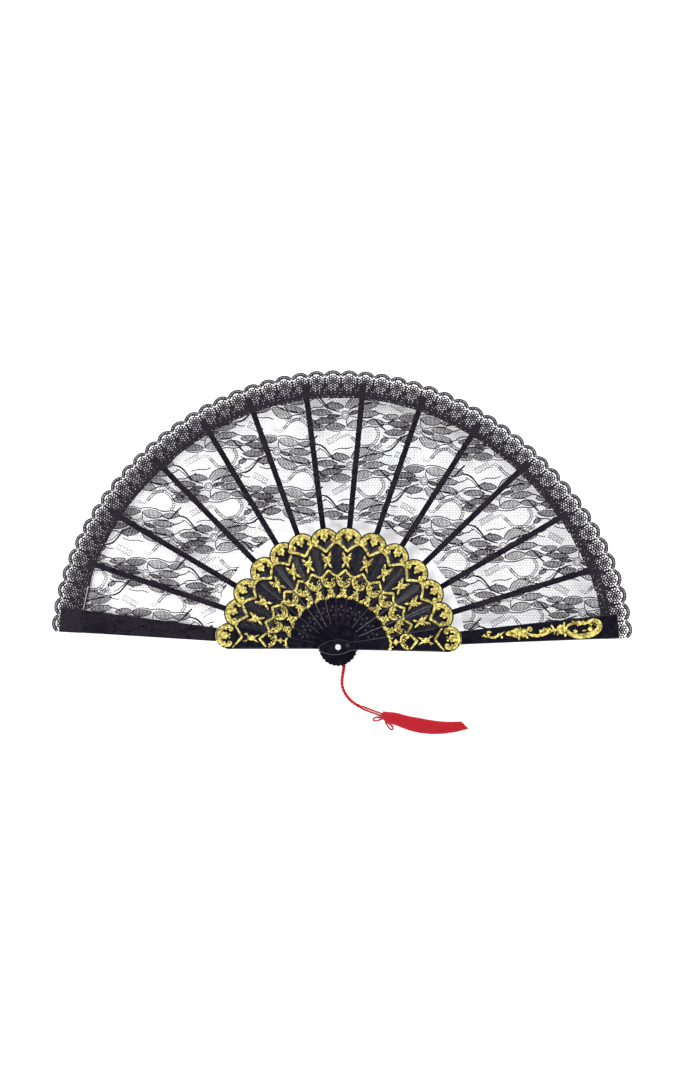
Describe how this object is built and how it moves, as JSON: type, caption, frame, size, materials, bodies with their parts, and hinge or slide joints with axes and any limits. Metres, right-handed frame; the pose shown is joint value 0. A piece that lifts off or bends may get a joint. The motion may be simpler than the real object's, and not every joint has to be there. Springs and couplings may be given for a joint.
{
  "type": "folding hand fan",
  "caption": "Folding hand fan: black moulded sticks with gilt relief, a pleated black lace leaf with a scalloped edge, a domed rivet, and a red cord with a tassel.",
  "frame": {"origin": "centre of the rivet's rear head, on its flat face, which lies on the surface under the open fan", "axes": "+Z along the rivet towards the fan's front, +Y towards the middle of the spread leaf, +X towards the front guard"},
  "size_m": [0.4331, 0.2708, 0.0178],
  "materials": {
    "guard_plastic": "polished black",
    "stick_plastic": "satin black",
    "gold_foil": "hot-stamped gold foil",
    "lace": "black floral net lace",
    "rivet_metal": "polished nickel",
    "cord_thread": "twisted red thread",
    "tassel_thread": "combed red thread"
  },
  "bodies": {
    "rear_guard": {"rear_guard": "guard_plastic", "leaf_end_rear": "lace", "rivet_pin": "rivet_metal", "rivet_cap": "rivet_metal"},
    "stick_01": {"stick_01": "stick_plastic", "leaf_panel_01": "lace"},
    "stick_02": {"stick_02": "stick_plastic", "leaf_panel_02": "lace"},
    "stick_03": {"stick_03": "stick_plastic", "leaf_panel_03": "lace"},
    "stick_04": {"stick_04": "stick_plastic", "leaf_panel_04": "lace"},
    "stick_05": {"stick_05": "stick_plastic", "leaf_panel_05": "lace"},
    "stick_06": {"stick_06": "stick_plastic", "leaf_panel_06": "lace"},
    "stick_07": {"stick_07": "stick_plastic", "leaf_panel_07": "lace"},
    "stick_08": {"stick_08": "stick_plastic", "leaf_panel_08": "lace"},
    "stick_09": {"stick_09": "stick_plastic", "leaf_panel_09": "lace"},
    "stick_10": {"stick_10": "stick_plastic", "leaf_panel_10": "lace"},
    "stick_11": {"stick_11": "stick_plastic", "leaf_panel_11": "lace"},
    "stick_12": {"stick_12": "stick_plastic", "leaf_panel_12": "lace"},
    "front_guard": {"front_guard": "guard_plastic", "leaf_end_front": "lace", "guard_scroll": "gold_foil"},
    "leaf_fold_01": {"leaf_fold_01": "lace"},
    "leaf_fold_02": {"leaf_fold_02": "lace"},
    "leaf_fold_03": {"leaf_fold_03": "lace"},
    "leaf_fold_04": {"leaf_fold_04": "lace"},
    "leaf_fold_05": {"leaf_fold_05": "lace"},
    "leaf_fold_06": {"leaf_fold_06": "lace"},
    "leaf_fold_07": {"leaf_fold_07": "lace"},
    "leaf_fold_08": {"leaf_fold_08": "lace"},
    "leaf_fold_09": {"leaf_fold_09": "lace"},
    "leaf_fold_10": {"leaf_fold_10": "lace"},
    "leaf_fold_11": {"leaf_fold_11": "lace"},
    "leaf_fold_12": {"leaf_fold_12": "lace"},
    "leaf_fold_13": {"leaf_fold_13": "lace"},
    "tassel_cord": {"cord_eye": "cord_thread", "cord": "cord_thread", "tassel_head": "tassel_thread", "tassel_skirt": "tassel_thread", "knot_loops": "cord_thread"}
  },
  "joints": [
    {"name": "spread_01", "type": "hinge", "parent": "rear_guard", "child": "stick_01", "pos_m": [0, 0, 0], "axis": [0, 0, 1], "range_deg": [0, 13]},
    {"name": "spread_02", "type": "hinge", "parent": "stick_01", "child": "stick_02", "pos_m": [0, 0, 0], "axis": [0, 0, 1], "range_deg": [0, 12.1]},
    {"name": "spread_03", "type": "hinge", "parent": "stick_02", "child": "stick_03", "pos_m": [0, 0, 0], "axis": [0, 0, 1], "range_deg": [0, 14.9]},
    {"name": "spread_04", "type": "hinge", "parent": "stick_03", "child": "stick_04", "pos_m": [0, 0, 0], "axis": [0, 0, 1], "range_deg": [0, 13.4]},
    {"name": "spread_05", "type": "hinge", "parent": "stick_04", "child": "stick_05", "pos_m": [0, 0, 0], "axis": [0, 0, 1], "range_deg": [0, 11.1]},
    {"name": "spread_06", "type": "hinge", "parent": "stick_05", "child": "stick_06", "pos_m": [0, 0, 0], "axis": [0, 0, 1], "range_deg": [0, 12.7]},
    {"name": "spread_07", "type": "hinge", "parent": "stick_06", "child": "stick_07", "pos_m": [0, 0, 0], "axis": [0, 0, 1], "range_deg": [0, 12.7]},
    {"name": "spread_08", "type": "hinge", "parent": "stick_07", "child": "stick_08", "pos_m": [0, 0, 0], "axis": [0, 0, 1], "range_deg": [0, 13.4]},
    {"name": "spread_09", "type": "hinge", "parent": "stick_08", "child": "stick_09", "pos_m": [0, 0, 0], "axis": [0, 0, 1], "range_deg": [0, 13.4]},
    {"name": "spread_10", "type": "hinge", "parent": "stick_09", "child": "stick_10", "pos_m": [0, 0, 0], "axis": [0, 0, 1], "range_deg": [0, 13.6]},
    {"name": "spread_11", "type": "hinge", "parent": "stick_10", "child": "stick_11", "pos_m": [0, 0, 0], "axis": [0, 0, 1], "range_deg": [0, 13.9]},
    {"name": "spread_12", "type": "hinge", "parent": "stick_11", "child": "stick_12", "pos_m": [0, 0, 0], "axis": [0, 0, 1], "range_deg": [0, 13.3]},
    {"name": "spread_13", "type": "hinge", "parent": "stick_12", "child": "front_guard", "pos_m": [0, 0, 0], "axis": [0, 0, 1], "range_deg": [0, 12.6]},
    {"name": "pleat_01", "type": "hinge", "parent": "rear_guard", "child": "leaf_fold_01", "pos_m": [0, 0, 0], "axis": [0, 0, 1], "range_deg": [0, 6.5]},
    {"name": "pleat_02", "type": "hinge", "parent": "stick_01", "child": "leaf_fold_02", "pos_m": [0, 0, 0], "axis": [0, 0, 1], "range_deg": [0, 6.05]},
    {"name": "pleat_03", "type": "hinge", "parent": "stick_02", "child": "leaf_fold_03", "pos_m": [0, 0, 0], "axis": [0, 0, 1], "range_deg": [0, 7.45]},
    {"name": "pleat_04", "type": "hinge", "parent": "stick_03", "child": "leaf_fold_04", "pos_m": [0, 0, 0], "axis": [0, 0, 1], "range_deg": [0, 6.7]},
    {"name": "pleat_05", "type": "hinge", "parent": "stick_04", "child": "leaf_fold_05", "pos_m": [0, 0, 0], "axis": [0, 0, 1], "range_deg": [0, 5.55]},
    {"name": "pleat_06", "type": "hinge", "parent": "stick_05", "child": "leaf_fold_06", "pos_m": [0, 0, 0], "axis": [0, 0, 1], "range_deg": [0, 6.35]},
    {"name": "pleat_07", "type": "hinge", "parent": "stick_06", "child": "leaf_fold_07", "pos_m": [0, 0, 0], "axis": [0, 0, 1], "range_deg": [0, 6.35]},
    {"name": "pleat_08", "type": "hinge", "parent": "stick_07", "child": "leaf_fold_08", "pos_m": [0, 0, 0], "axis": [0, 0, 1], "range_deg": [0, 6.7]},
    {"name": "pleat_09", "type": "hinge", "parent": "stick_08", "child": "leaf_fold_09", "pos_m": [0, 0, 0], "axis": [0, 0, 1], "range_deg": [0, 6.7]},
    {"name": "pleat_10", "type": "hinge", "parent": "stick_09", "child": "leaf_fold_10", "pos_m": [0, 0, 0], "axis": [0, 0, 1], "range_deg": [0, 6.8]},
    {"name": "pleat_11", "type": "hinge", "parent": "stick_10", "child": "leaf_fold_11", "pos_m": [0, 0, 0], "axis": [0, 0, 1], "range_deg": [0, 6.95]},
    {"name": "pleat_12", "type": "hinge", "parent": "stick_11", "child": "leaf_fold_12", "pos_m": [0, 0, 0], "axis": [0, 0, 1], "range_deg": [0, 6.65]},
    {"name": "pleat_13", "type": "hinge", "parent": "stick_12", "child": "leaf_fold_13", "pos_m": [0, 0, 0], "axis": [0, 0, 1], "range_deg": [0, 6.3]},
    {"name": "cord_swing", "type": "hinge", "parent": "rear_guard", "child": "tassel_cord", "pos_m": [0, 0, 0], "axis": [0, 0, 1], "range_deg": [-60, 25]}
  ],
  "couplings": [
    {"joint": "spread_02", "follows": "spread_01", "ratio": 0.93077},
    {"joint": "spread_03", "follows": "spread_01", "ratio": 1.1462},
    {"joint": "spread_04", "follows": "spread_01", "ratio": 1.0308},
    {"joint": "spread_05", "follows": "spread_01", "ratio": 0.85385},
    {"joint": "spread_06", "follows": "spread_01", "ratio": 0.97692},
    {"joint": "spread_07", "follows": "spread_01", "ratio": 0.97692},
    {"joint": "spread_08", "follows": "spread_01", "ratio": 1.0308},
    {"joint": "spread_09", "follows": "spread_01", "ratio": 1.0308},
    {"joint": "spread_10", "follows": "spread_01", "ratio": 1.0462},
    {"joint": "spread_11", "follows": "spread_01", "ratio": 1.0692},
    {"joint": "spread_12", "follows": "spread_01", "ratio": 1.0231},
    {"joint": "spread_13", "follows": "spread_01", "ratio": 0.96923},
    {"joint": "pleat_01", "follows": "spread_01", "ratio": 0.5},
    {"joint": "pleat_02", "follows": "spread_01", "ratio": 0.46538},
    {"joint": "pleat_03", "follows": "spread_01", "ratio": 0.57308},
    {"joint": "pleat_04", "follows": "spread_01", "ratio": 0.51538},
    {"joint": "pleat_05", "follows": "spread_01", "ratio": 0.42692},
    {"joint": "pleat_06", "follows": "spread_01", "ratio": 0.48846},
    {"joint": "pleat_07", "follows": "spread_01", "ratio": 0.48846},
    {"joint": "pleat_08", "follows": "spread_01", "ratio": 0.51538},
    {"joint": "pleat_09", "follows": "spread_01", "ratio": 0.51538},
    {"joint": "pleat_10", "follows": "spread_01", "ratio": 0.52308},
    {"joint": "pleat_11", "follows": "spread_01", "ratio": 0.53461},
    {"joint": "pleat_12", "follows": "spread_01", "ratio": 0.51154},
    {"joint": "pleat_13", "follows": "spread_01", "ratio": 0.48462}
  ]
}
